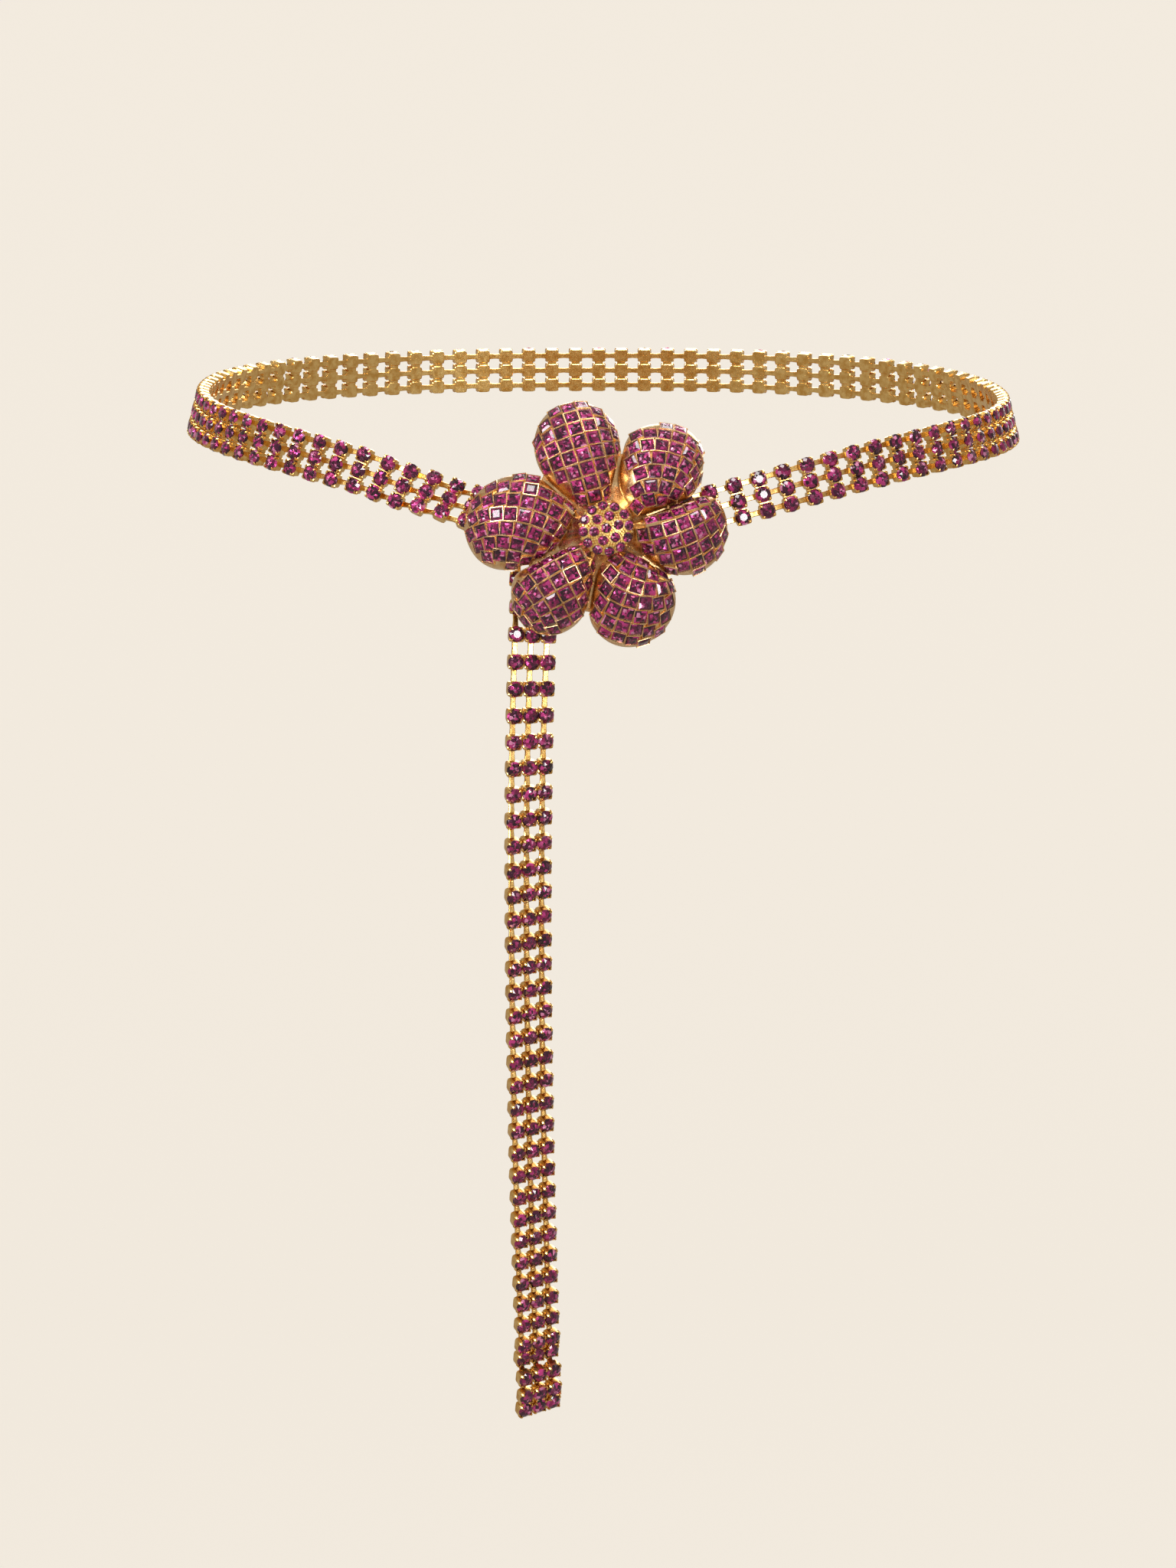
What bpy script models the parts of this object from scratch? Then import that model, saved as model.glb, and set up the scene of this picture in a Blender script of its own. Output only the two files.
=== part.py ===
"""A rhinestone hip belt, worn: a chain of three-stone bars round the hips, a six-petal
flower buckle at the front, and the belt's free end hanging from behind the buckle.

The frame: +Z is up, the wearer faces -Y, and the origin is the middle of the hips at the
height of the belt's sides. Lengths are in metres."""

import math
from collections import namedtuple

import bmesh
import bpy
from mathutils import Matrix, Vector

mm = 0.001

# The hips that the belt goes round: a rounded oval that widens downwards
HIP_HALF_WIDTH = 135.2 * mm
HIP_HALF_DEPTH = 116 * mm
HIP_ROUNDNESS = 2.45
SIDE_FLARE = 0.25
FRONT_FLARE = 0.08

# The belt's line over the hips: a tilted ring that the buckle's weight draws down in front
BACK_RISE = 7.8 * mm
FRONT_DROP = 25 * mm
SIDE_TILT = 1.5 * mm
LEFT_END = math.radians(9.75)
RIGHT_END = math.radians(7.6)

# The extra sag of the end on the wearer's right, and the angle where it starts
LEFT_SAG = 2.5 * mm
SAG_START = math.radians(28)

# How far each end leaves the hips to reach the buckle, the angle where it starts, and how
# sharply it rises
Lift = namedtuple("Lift", "end height start power")
LEFT_LIFT = Lift(LEFT_END, 4.8 * mm, math.radians(32), 2)
RIGHT_LIFT = Lift(RIGHT_END, 3.2 * mm, math.radians(45), 1.3)

# The bars lean on the wearer's right, and tip their lower ends out beside the buckle
LEAN = math.radians(8)
TWIST = math.radians(31)
TWIST_ANGLE = math.radians(15.5)
TWIST_REACH = math.radians(9.5)
TWIST_LIFT = 0.6

# One bar of the chain: three cups side by side, joined to the next bar by three links
CUP_PITCH = 5.3 * mm
CUPS_PER_BAR = 3
CUP_SIZE = 4.5 * mm
CUP_HEIGHT = 4.2 * mm
CUP_TOP_SIZE = 5.0 * mm
BAR_LENGTH = (CUPS_PER_BAR - 1) * CUP_PITCH + CUP_TOP_SIZE
LINK_WIDTH = 1.5 * mm
LINK_THICKNESS = 0.8 * mm
RING_PITCH = 8.3 * mm
RING_STRETCHES = 12
SEAM_GAP = 0.3 * mm

# The free end, from behind the buckle down to its tip
TAIL_TOP_Z = -47.2 * mm
TAIL_TOP_PITCH = 8.6 * mm
TAIL_END_PITCH = 6.84 * mm
TAIL_EVEN_BARS = 32
TAIL_LAST_DROPS = ((6.7 * mm, True), (10.8 * mm, False), (6.0 * mm, True))
TAIL_STRETCHES = 4
TAIL_TOP_DROOP = math.radians(2)
TAIL_END_DROOP = math.radians(24)
TAIL_TURN = math.radians(31)
TAIL_LEAN = math.radians(7)
PAIR_PITCH = 5.1 * mm
TAIL_STUB = 11 * mm

# The flower, on its own axis, which leans up and to the wearer's left
FLOWER_CENTRE = Vector((0.0 * mm, -132.7 * mm, -30.5 * mm))
FLOWER_YAW = math.radians(4)
FLOWER_PITCH = math.radians(8.5)
DISH = math.radians(11)

# The petals clockwise from the top, in degrees and millimetres in the flower's plane. Each
# is an egg placed about its own middle: "turn" is the way its wide end points, "outer" and
# "inner" are its lengths to either end, and "left" and "right" its half widths. "border" is
# the ray from the flower's middle that parts it from the next petal.
Petal = namedtuple("Petal", "angle radius turn outer inner left right egg border")
PETALS = (
    Petal(104, 24.5, 105, 18.5, 17.5, 14.5, 12.5, 0.15, 76.5),
    Petal(40, 27.0, 72, 17.0, 18.0, 16.5, 10.5, 0.20, 20.0),
    Petal(4, 24.5, 6, 15.8, 15.5, 12.5, 15.8, 0.06, -33.5),
    Petal(-71, 22.5, -65, 15.6, 15.5, 15.5, 13.5, 0.08, -101.0),
    Petal(-128, 22.5, -122, 16.0, 15.0, 11.5, 14.5, 0.08, -156.0),
    Petal(-189, 25.0, -150, 19.5, 17.5, 13.0, 15.5, 0.20, -222.0),
)
PETAL_HEIGHT = 10.5 * mm
PETAL_WALL = 1.2 * mm
PETAL_RINGS = 5
PETAL_SIDES = 18
BORDER_GAP = 0.25 * mm
BORDER_SOFTNESS = 0.7 * mm

PLATE_RADIUS = 26 * mm
PLATE_THICKNESS = 1.5 * mm
STEM_RADIUS = 4 * mm
STEM_HEIGHT = 9.5 * mm
DISC_RADIUS = 8.4 * mm
DISC_RIM = 1.6 * mm
DISC_DOME = 2.6 * mm
ROUND_SIDES = 24

CARRIER_HALF_LENGTH = 12 * mm
CARRIER_HALF_HEIGHT = BAR_LENGTH / 2
CARRIER_THICKNESS = 1.4 * mm
POST_RADIUS = 5 * mm

GOLD = (0.83, 0.56, 0.20)
AMETHYST = (0.30, 0.03, 0.17)


def clear_scene():
    for old in list(bpy.data.objects):
        bpy.data.objects.remove(old)


def material(name, colour, roughness, metallic):
    made = bpy.data.materials.new(name)
    made.use_nodes = True
    shader = made.node_tree.nodes["Principled BSDF"]
    shader.inputs["Base Color"].default_value = (*colour, 1)
    shader.inputs["Roughness"].default_value = roughness
    shader.inputs["Metallic"].default_value = metallic
    return made


def add_object(name, bm, finish, smooth_angle=None):
    """One closed solid from a bmesh, with its faces pointing out."""
    bmesh.ops.recalc_face_normals(bm, faces=bm.faces)
    mesh = bpy.data.meshes.new(name)
    bm.to_mesh(mesh)
    bm.free()
    mesh.materials.append(finish)
    if smooth_angle is not None:
        mesh.shade_smooth()
        mesh.set_sharp_from_angle(angle=smooth_angle)
    made = bpy.data.objects.new(name, mesh)
    bpy.context.scene.collection.objects.link(made)
    return made


class Frame:
    """A place on the chain: s runs along it, w across it and n out from the hips."""

    def __init__(self, origin, along, out):
        self.origin = origin
        self.out = out.normalized()
        self.across = self.out.cross(along).normalized()
        self.along = self.across.cross(self.out).normalized()

    def at(self, s, w, n):
        return self.origin + self.along * s + self.across * w + self.out * n

    def turned(self, angle, axis):
        """The same place, turned about an axis of its own."""
        turn = Matrix.Rotation(angle, 3, axis)
        return Frame(self.origin, turn @ self.along, turn @ self.out)


def signed_power(value, power):
    return math.copysign(abs(value) ** power, value)


def belt_height(angle):
    """Height of the belt's middle. The angle runs from the front to the wearer's right."""
    across, along = math.sin(angle), math.cos(angle)
    height = SIDE_TILT * across**3 - BACK_RISE * along
    if along > 0:
        height -= FRONT_DROP * (1 - abs(across)) ** 2
    if 0 < angle < SAG_START:
        share = (angle - LEFT_END) / (SAG_START - LEFT_END)
        height -= LEFT_SAG * (1 - max(share, 0.0) ** 2)
    return height


def hip_point(angle):
    """(place, outward normal) on the hips under the belt's middle."""
    z = belt_height(angle)
    half_width = HIP_HALF_WIDTH - SIDE_FLARE * z
    half_depth = HIP_HALF_DEPTH - FRONT_FLARE * z
    x = -half_width * signed_power(math.sin(angle), 2 / HIP_ROUNDNESS)
    y = -half_depth * signed_power(math.cos(angle), 2 / HIP_ROUNDNESS)
    u = abs(x / half_width)
    v = abs(y / half_depth)
    normal = Vector(
        (
            math.copysign(u ** (HIP_ROUNDNESS - 1) / half_width, x),
            math.copysign(v ** (HIP_ROUNDNESS - 1) / half_depth, y),
            u**HIP_ROUNDNESS * SIDE_FLARE / half_width
            + v**HIP_ROUNDNESS * FRONT_FLARE / half_depth,
        )
    ).normalized()
    return Vector((x, y, z)), normal


def twist_at(angle):
    """How far a bar tips beside the buckle, on the wearer's right only."""
    off = abs(math.remainder(angle, math.tau) - TWIST_ANGLE) / TWIST_REACH
    return TWIST * math.cos(math.pi / 2 * off) ** 2 if off < 1 else 0.0


def belt_point(angle):
    """(place, normal) under the chain, which leaves the hips to reach the buckle."""
    place, normal = hip_point(angle)
    from_front = math.remainder(angle, math.tau)
    lift = LEFT_LIFT if from_front > 0 else RIGHT_LIFT
    share = (lift.start - abs(from_front)) / (lift.start - lift.end)
    height = lift.height * min(max(share, 0.0), 1.0) ** lift.power
    height += TWIST_LIFT * BAR_LENGTH / 2 * math.sin(twist_at(angle))
    return place + normal * height, normal


def frame_at(angle, step):
    """The chain's frame at an angle: s runs on round the hips and w runs down."""
    place, normal = belt_point(angle)
    along = belt_point(angle + step)[0] - belt_point(angle - step)[0]
    frame = Frame(place, along, normal)
    if math.sin(angle) > 0:
        lean = LEAN * max(math.cos(angle), 0.0) ** 2
        frame = frame.turned(-lean, frame.out)
    return frame.turned(twist_at(angle), frame.along)


def ring_frames():
    """Evenly spaced frames from the buckle's one side, round the back, to its other side.
    The first and the last stand for the buckle's own end pads."""
    samples = 4000
    span = math.tau - LEFT_END - RIGHT_END
    step = span / samples
    angles = [LEFT_END + step * i for i in range(samples + 1)]
    places = [belt_point(a)[0] for a in angles]
    lengths = [0.0]
    for a, b in zip(places, places[1:]):
        lengths.append(lengths[-1] + (b - a).length)
    bars = round(lengths[-1] / RING_PITCH)
    pitch = lengths[-1] / bars
    wanted = []
    at = 0
    for k in range(bars + 1):
        while at < samples and lengths[at] < k * pitch:
            at += 1
        wanted.append(angles[at])
    before = wanted[0] - pitch * step / lengths[1]
    after = wanted[-1] + pitch * step / (lengths[-1] - lengths[-2])
    return [frame_at(a, step) for a in (before, *wanted, after)]


def tail_line(z):
    """(x, y) of the free end's back at height z: it hangs clear of the belly."""
    below = (TAIL_TOP_Z - z) / (270 * mm)
    swing = 1 - math.exp(-6 * below)
    x = -22.3 * mm - 2.4 * mm * swing - 1.0 * mm * math.sin(math.pi * below) + 3.2 * mm * below**2
    y = -122.5 * mm - 8.0 * mm * swing
    return x, y


def tail_heights():
    """(height, is paired) of the bars down the free end. A paired bar has a second one
    soldered to it, which isn't listed."""
    z = TAIL_TOP_Z
    heights = [(z, False)]
    for k in range(TAIL_EVEN_BARS - 1):
        share = k / (TAIL_EVEN_BARS - 2)
        z -= TAIL_TOP_PITCH + (TAIL_END_PITCH - TAIL_TOP_PITCH) * share
        heights.append((z, False))
    for drop, paired in TAIL_LAST_DROPS:
        z -= drop
        heights.append((z, paired))
    return heights


def tail_frames():
    """Frames down the free end, whose bars turn to the wearer's left, lean and droop."""
    heights = tail_heights()
    top, low = heights[0][0], heights[-1][0]
    frames = []
    for z, paired in heights:
        x, y = tail_line(z)
        below_x, below_y = tail_line(z - 1 * mm)
        down = Vector((below_x - x, below_y - y, -1 * mm))
        share = (top - z) / (top - low)
        settled = min(share / 0.4, 1.0)
        settled *= settled * (3 - 2 * settled)
        droop = TAIL_TOP_DROOP + (TAIL_END_DROOP - TAIL_TOP_DROOP) * settled
        frame = Frame(Vector((x, y, z)), down, Vector((0, -1, 0)))
        frame = Frame(frame.origin, down, frame.across.cross(-down))
        frame = frame.turned(-TAIL_TURN * share**0.3, frame.along)
        frame = frame.turned(TAIL_LEAN * settled, frame.out)
        frame = frame.turned(droop, frame.across)
        frames.append(frame)
        if paired:
            frames.append(Frame(frame.at(PAIR_PITCH, 0, 0), frame.along, frame.out))
    return frames


def link_centres():
    middle = (CUPS_PER_BAR - 1) / 2
    return [(k - middle) * CUP_PITCH for k in range(CUPS_PER_BAR)]


def slope_at(height):
    """Half a bar's size along the chain at a height, for its sides that taper."""
    taper = (CUP_SIZE - CUP_TOP_SIZE) / 2
    return CUP_SIZE / 2 - taper * height / CUP_HEIGHT


def bar_side(bm, frame, end):
    """The points of one side of a bar: its foot line, link roots and top edge."""
    foot_s = end * slope_at(0)
    root_s = end * slope_at(LINK_THICKNESS)
    top_s = end * slope_at(CUP_HEIGHT)
    half = BAR_LENGTH / 2
    foot = [bm.verts.new(frame.at(foot_s, -half, 0))]
    roots = []
    for centre in link_centres():
        for w in (centre - LINK_WIDTH / 2, centre + LINK_WIDTH / 2):
            foot.append(bm.verts.new(frame.at(foot_s, w, 0)))
            roots.append(bm.verts.new(frame.at(root_s, w, LINK_THICKNESS)))
    foot.append(bm.verts.new(frame.at(foot_s, half, 0)))
    top = [bm.verts.new(frame.at(top_s, w, CUP_HEIGHT)) for w in (-half, half)]
    return {"foot": foot, "roots": roots, "top": top}


def close_side(bm, side, linked):
    """The faces of a bar's side, open where its links leave it."""
    foot, roots, top = side["foot"], side["roots"], side["top"]
    if not linked:
        for root in roots:
            bm.verts.remove(root)
        for a, b in zip(foot, foot[1:]):
            bm.faces.new((top[0], a, b))
        bm.faces.new((top[0], foot[-1], top[1]))
        return
    bm.faces.new((top[0], foot[0], foot[1], roots[0]))
    bm.faces.new((roots[1], foot[2], foot[3], roots[2]))
    bm.faces.new((roots[3], foot[4], foot[5], roots[4]))
    bm.faces.new((roots[5], foot[6], foot[7], top[1]))
    for a, b in zip(roots[:3], roots[1:4]):
        bm.faces.new((top[0], a, b))
    bm.faces.new((top[0], roots[3], top[1]))
    for a, b in zip(roots[3:], roots[4:]):
        bm.faces.new((top[1], a, b))


def add_links(bm, start, end):
    """The three links between two sets of root points."""
    for k in range(CUPS_PER_BAR):
        loop_a = link_loop(start, k)
        loop_b = link_loop(end, k)
        for i in range(4):
            j = (i + 1) % 4
            bm.faces.new((loop_a[i], loop_a[j], loop_b[j], loop_b[i]))


def link_loop(side, k):
    foot, roots = side["foot"], side["roots"]
    return foot[2 * k + 1], foot[2 * k + 2], roots[2 * k + 1], roots[2 * k]


def loose_link_ends(bm, frame, s):
    """Closed link ends that stop at s in a frame, the seam gap short of its bar."""
    foot, roots = [None], []
    for centre in link_centres():
        for w in (centre - LINK_WIDTH / 2, centre + LINK_WIDTH / 2):
            foot.append(bm.verts.new(frame.at(s, w, 0)))
            roots.append(bm.verts.new(frame.at(s, w, LINK_THICKNESS)))
    side = {"foot": [*foot, None], "roots": roots}
    for k in range(CUPS_PER_BAR):
        bm.faces.new(link_loop(side, k))
    return side


def chain_stretch(name, frames, before, after, finish):
    """Bars at the frames, joined by their links, as one solid. Links also run back to
    just short of the frame before and on to just short of the frame after."""
    bm = bmesh.new()
    stop = slope_at(LINK_THICKNESS) + SEAM_GAP
    last = None
    if before:
        last = loose_link_ends(bm, before, stop)
    for i, frame in enumerate(frames):
        near = bar_side(bm, frame, -1)
        far = bar_side(bm, frame, 1)
        follows = i < len(frames) - 1 or after is not None
        for a, b, c, d in zip(near["foot"], near["foot"][1:], far["foot"], far["foot"][1:]):
            bm.faces.new((a, b, d, c))
        bm.faces.new((near["top"][0], near["top"][1], far["top"][1], far["top"][0]))
        bm.faces.new((near["foot"][0], near["top"][0], far["top"][0], far["foot"][0]))
        bm.faces.new((near["foot"][-1], near["top"][1], far["top"][1], far["foot"][-1]))
        close_side(bm, near, last is not None)
        close_side(bm, far, follows)
        if last is not None:
            add_links(bm, last, near)
        last = far
    if after:
        add_links(bm, last, loose_link_ends(bm, after, -stop))
    return add_object(name, bm, finish)


def split_evenly(items, parts):
    """Runs of items whose lengths differ by one at most, as (first, past last)."""
    edges = [round(len(items) * k / parts) for k in range(parts + 1)]
    return list(zip(edges, edges[1:]))


def build_ring(finish):
    frames = ring_frames()
    bars = frames[1:-1]
    for k, (first, end) in enumerate(split_evenly(bars, RING_STRETCHES)):
        after = frames[end + 1]
        before = frames[0] if first == 0 else None
        name = f"belt_stretch_{k + 1:02d}"
        chain_stretch(name, bars[first:end], before, after, finish)
    return frames[0], frames[-1]


def build_tail(finish):
    frames = tail_frames()
    top = frames[0]
    hold = Frame(top.at(-CUP_SIZE / 2 - TAIL_STUB - SEAM_GAP, 0, 0), top.along, top.out)
    start = Frame(hold.at(-CUP_SIZE / 2, 0, 0), top.along, top.out)
    for k, (first, end) in enumerate(split_evenly(frames, TAIL_STRETCHES)):
        after = frames[end] if end < len(frames) else None
        before = start if first == 0 else None
        name = f"free_end_stretch_{k + 1}"
        chain_stretch(name, frames[first:end], before, after, finish)


def flower_matrix():
    """From the flower's own axes, with +Z along its axis and +Y up, to the belt's."""
    face_front = Matrix.Rotation(math.radians(90), 4, "X")
    yaw = Matrix.Rotation(FLOWER_YAW, 4, "Z")
    pitch = Matrix.Rotation(-FLOWER_PITCH, 4, "X")
    return Matrix.Translation(FLOWER_CENTRE) @ yaw @ pitch @ face_front


def dish_height(radius):
    """Height of the dished plate's back and of the petals' seats, which slope back."""
    return -math.tan(DISH) * radius


def ray(degrees):
    angle = math.radians(degrees)
    return Vector((math.cos(angle), math.sin(angle)))


def pressed(point, border, side):
    """A point kept to one side of a border, which it nears softly and never crosses."""
    normal = ray(border + 90 * side)
    room = point.dot(normal) - BORDER_GAP
    kept = (room + math.hypot(room, 2 * BORDER_SOFTNESS)) / 2
    return point + normal * (kept - room)


def petal_outline(petal, last_border, side_angle):
    """A petal's rim in the flower's plane: an egg, pressed flat where it meets the next."""
    c, s = math.cos(side_angle), math.sin(side_angle)
    u = (petal.outer if c > 0 else petal.inner) * c * mm
    v = (petal.left if s > 0 else petal.right) * s * (1 + petal.egg * c) * mm
    middle = ray(petal.angle) * petal.radius * mm
    point = middle + ray(petal.turn) * u + ray(petal.turn + 90) * v
    point = pressed(point, petal.border, 1)
    return pressed(point, last_border, -1)


def petal_ring(bm, petal, outline, rise, inset):
    """One ring of a petal's dome, at rise from 0 at its top to a quarter turn at its rim."""
    middle = ray(petal.angle) * petal.radius * mm
    ring = []
    for point in outline:
        reach = point - middle
        share = math.sin(rise) * (1 - inset / reach.length)
        place = middle + reach * share
        seat = PLATE_THICKNESS + SEAM_GAP + dish_height(place.dot(ray(petal.angle)))
        height = seat + (PETAL_HEIGHT - inset) * math.cos(rise)
        ring.append(bm.verts.new((place.x, place.y, height)))
    return ring


def build_petal(name, petal, last_border, finish):
    """A hollow dome over an egg-shaped rim, narrow towards the flower's middle."""
    bm = bmesh.new()
    outline = [
        petal_outline(petal, last_border, math.tau * k / PETAL_SIDES)
        for k in range(PETAL_SIDES)
    ]
    rims = []
    for inset in (0.0, PETAL_WALL):
        top = petal_ring(bm, petal, outline[:1], 0, inset)[0]
        last = None
        for k in range(1, PETAL_RINGS + 1):
            ring = petal_ring(bm, petal, outline, math.pi / 2 * k / PETAL_RINGS, inset)
            for i in range(PETAL_SIDES):
                j = (i + 1) % PETAL_SIDES
                if last is None:
                    bm.faces.new((top, ring[i], ring[j]))
                else:
                    bm.faces.new((last[i], ring[i], ring[j], last[j]))
            last = ring
        rims.append(last)
    outer, inner = rims
    for i in range(PETAL_SIDES):
        j = (i + 1) % PETAL_SIDES
        bm.faces.new((outer[i], outer[j], inner[j], inner[i]))
    bm.transform(flower_matrix())
    return add_object(name, bm, finish, math.radians(40))


def lathe(name, profile, finish, matrix):
    """A solid turned about Z from (radius, height) points, closed at the axis."""
    bm = bmesh.new()
    rings = []
    for radius, height in profile:
        if radius == 0:
            rings.append([bm.verts.new((0, 0, height))])
            continue
        ring = []
        for k in range(ROUND_SIDES):
            a = math.tau * k / ROUND_SIDES
            point = (radius * math.cos(a), radius * math.sin(a), height)
            ring.append(bm.verts.new(point))
        rings.append(ring)
    for low, high in zip(rings, rings[1:]):
        for i in range(ROUND_SIDES):
            j = (i + 1) % ROUND_SIDES
            if len(low) == 1:
                bm.faces.new((low[0], high[j], high[i]))
            elif len(high) == 1:
                bm.faces.new((low[i], low[j], high[0]))
            else:
                bm.faces.new((low[i], low[j], high[j], high[i]))
    bm.transform(matrix)
    return add_object(name, bm, finish, math.radians(40))


def build_flower_middle(gold, pave):
    """The dished plate that carries the petals, the stem and the stone-set disc."""
    matrix = flower_matrix()
    front = PLATE_THICKNESS
    edge = dish_height(PLATE_RADIUS)
    flat = STEM_RADIUS + 1 * mm
    flat_height = dish_height(flat)
    plate = [
        (0, flat_height),
        (flat, flat_height),
        (PLATE_RADIUS, edge),
        (PLATE_RADIUS, edge + front),
        (flat, flat_height + front),
        (0, flat_height + front),
    ]
    lathe("flower_plate", plate, gold, matrix)
    foot = flat_height + front + SEAM_GAP
    waist = STEM_RADIUS * 0.8
    stem = [
        (0, foot),
        (STEM_RADIUS, foot),
        (waist, foot + STEM_HEIGHT * 0.5),
        (STEM_RADIUS * 1.3, foot + STEM_HEIGHT),
        (0, foot + STEM_HEIGHT),
    ]
    lathe("flower_stem", stem, gold, matrix)
    seat = foot + STEM_HEIGHT + SEAM_GAP
    disc = [(0, seat), (DISC_RADIUS * 0.9, seat), (DISC_RADIUS, seat + DISC_RIM / 2)]
    for k in range(3):
        rise = math.radians(30) * k
        radius = DISC_RADIUS * math.cos(rise) if k else DISC_RADIUS
        disc.append((radius, seat + DISC_RIM + DISC_DOME * math.sin(rise)))
    disc.append((0, seat + DISC_RIM + DISC_DOME))
    lathe("flower_disc", disc, pave, matrix)


def build_carrier(left_pad, right_pad, finish):
    """The flat bar behind the flower that both ends of the belt meet."""
    middle_y = (left_pad.origin.y + right_pad.origin.y) / 2
    middle_z = (left_pad.origin.z + right_pad.origin.z) / 2
    middle = Frame(Vector((0, middle_y, middle_z)), Vector((-1, 0, 0)), Vector((0, -1, 0)))
    half_pad = CUP_SIZE / 2
    half_bar = BAR_LENGTH / 2
    sections = [
        (left_pad, half_pad, half_bar),
        (left_pad, -half_pad, half_bar),
        (middle, CARRIER_HALF_LENGTH, CARRIER_HALF_HEIGHT),
        (middle, -CARRIER_HALF_LENGTH, CARRIER_HALF_HEIGHT),
        (right_pad, half_pad, half_bar),
        (right_pad, -half_pad, half_bar),
    ]
    bm = bmesh.new()
    loops = []
    for frame, s, half in sections:
        corners = ((-half, 0), (half, 0), (half, CARRIER_THICKNESS), (-half, CARRIER_THICKNESS))
        loops.append([bm.verts.new(frame.at(s, w, n)) for w, n in corners])
    for a, b in zip(loops, loops[1:]):
        for i in range(4):
            j = (i + 1) % 4
            bm.faces.new((a[i], a[j], b[j], b[i]))
    bm.faces.new(loops[0])
    bm.faces.new(loops[-1])
    add_object("buckle_carrier", bm, finish)
    return middle_y - CARRIER_THICKNESS


def build_post(carrier_front, finish):
    """The round post on the flower's axis, from the carrier's front to the plate's back."""
    matrix = flower_matrix()
    back = matrix.to_3x3() @ Vector((0, 0, -1))
    height = dish_height(STEM_RADIUS + 1 * mm) - SEAM_GAP
    bm = bmesh.new()
    near, far = [], []
    for k in range(ROUND_SIDES):
        a = math.tau * k / ROUND_SIDES
        rim = Vector((POST_RADIUS * math.cos(a), POST_RADIUS * math.sin(a), height))
        place = matrix @ rim
        reach = (carrier_front - SEAM_GAP - place.y) / back.y
        near.append(bm.verts.new(place))
        far.append(bm.verts.new(place + back * reach))
    for i in range(ROUND_SIDES):
        j = (i + 1) % ROUND_SIDES
        bm.faces.new((near[i], near[j], far[j], far[i]))
    bm.faces.new(near)
    bm.faces.new(far)
    add_object("buckle_post", bm, finish, math.radians(40))


def main():
    clear_scene()
    gold = material("gold", GOLD, 0.25, 1.0)
    chain = material("chain", GOLD, 0.3, 1.0)
    pave = material("pave", AMETHYST, 0.15, 0.0)
    left_pad, right_pad = build_ring(chain)
    build_tail(chain)
    for k, petal in enumerate(PETALS):
        build_petal(f"petal_{k + 1}", petal, PETALS[k - 1].border, pave)
    build_flower_middle(gold, pave)
    carrier_front = build_carrier(left_pad, right_pad, gold)
    build_post(carrier_front, gold)


main()
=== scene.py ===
# The looks of a worn rhinestone belt: scalloped cups with prongs and round stones along the
# chain, cells with square stones on the petals, and a beaded disc in the flower's middle.
# Lengths are in metres, +Z is up and the wearer faces -Y. The paths and the sizes that are
# shared with the solids are the same named values as there.

import math
import random
from collections import namedtuple

import bpy
import numpy as np
from mathutils import Matrix, Vector


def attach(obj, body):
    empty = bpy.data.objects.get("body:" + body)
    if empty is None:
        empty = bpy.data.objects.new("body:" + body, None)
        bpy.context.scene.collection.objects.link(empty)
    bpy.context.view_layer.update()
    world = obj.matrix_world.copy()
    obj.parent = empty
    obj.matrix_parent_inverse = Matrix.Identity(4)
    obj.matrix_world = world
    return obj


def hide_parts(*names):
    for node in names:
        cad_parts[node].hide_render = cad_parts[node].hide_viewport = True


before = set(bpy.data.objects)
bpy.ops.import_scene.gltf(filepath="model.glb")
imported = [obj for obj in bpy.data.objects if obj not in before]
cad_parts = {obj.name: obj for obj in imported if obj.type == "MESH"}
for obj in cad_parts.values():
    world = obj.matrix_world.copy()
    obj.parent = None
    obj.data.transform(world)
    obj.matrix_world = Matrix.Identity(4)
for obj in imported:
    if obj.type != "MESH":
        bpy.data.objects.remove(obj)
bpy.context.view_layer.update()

mm = 0.001

# The hips, and the belt's line over them
HIP_HALF_WIDTH = 135.2 * mm
HIP_HALF_DEPTH = 116 * mm
HIP_ROUNDNESS = 2.45
SIDE_FLARE = 0.25
FRONT_FLARE = 0.08
BACK_RISE = 7.8 * mm
FRONT_DROP = 25 * mm
SIDE_TILT = 1.5 * mm
LEFT_END = math.radians(9.75)
RIGHT_END = math.radians(7.6)
LEFT_SAG = 2.5 * mm
SAG_START = math.radians(28)
Lift = namedtuple("Lift", "end height start power")
LEFT_LIFT = Lift(LEFT_END, 4.8 * mm, math.radians(32), 2)
RIGHT_LIFT = Lift(RIGHT_END, 3.2 * mm, math.radians(45), 1.3)
LEAN = math.radians(8)
TWIST = math.radians(31)
TWIST_ANGLE = math.radians(15.5)
TWIST_REACH = math.radians(9.5)
TWIST_LIFT = 0.6

# The chain's bars
CUP_PITCH = 5.3 * mm
CUPS_PER_BAR = 3
CUP_SIZE = 4.5 * mm
CUP_TOP_SIZE = 5.0 * mm
BAR_LENGTH = (CUPS_PER_BAR - 1) * CUP_PITCH + CUP_TOP_SIZE
RING_PITCH = 8.3 * mm
RING_STRETCHES = 12

# The free end
TAIL_TOP_Z = -47.2 * mm
TAIL_TOP_PITCH = 8.6 * mm
TAIL_END_PITCH = 6.84 * mm
TAIL_EVEN_BARS = 32
TAIL_LAST_DROPS = ((6.7 * mm, True), (10.8 * mm, False), (6.0 * mm, True))
TAIL_STRETCHES = 4
TAIL_TOP_DROOP = math.radians(2)
TAIL_END_DROOP = math.radians(24)
TAIL_TURN = math.radians(31)
TAIL_LEAN = math.radians(7)
PAIR_PITCH = 5.1 * mm
TAIL_STUB = 11 * mm

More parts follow.
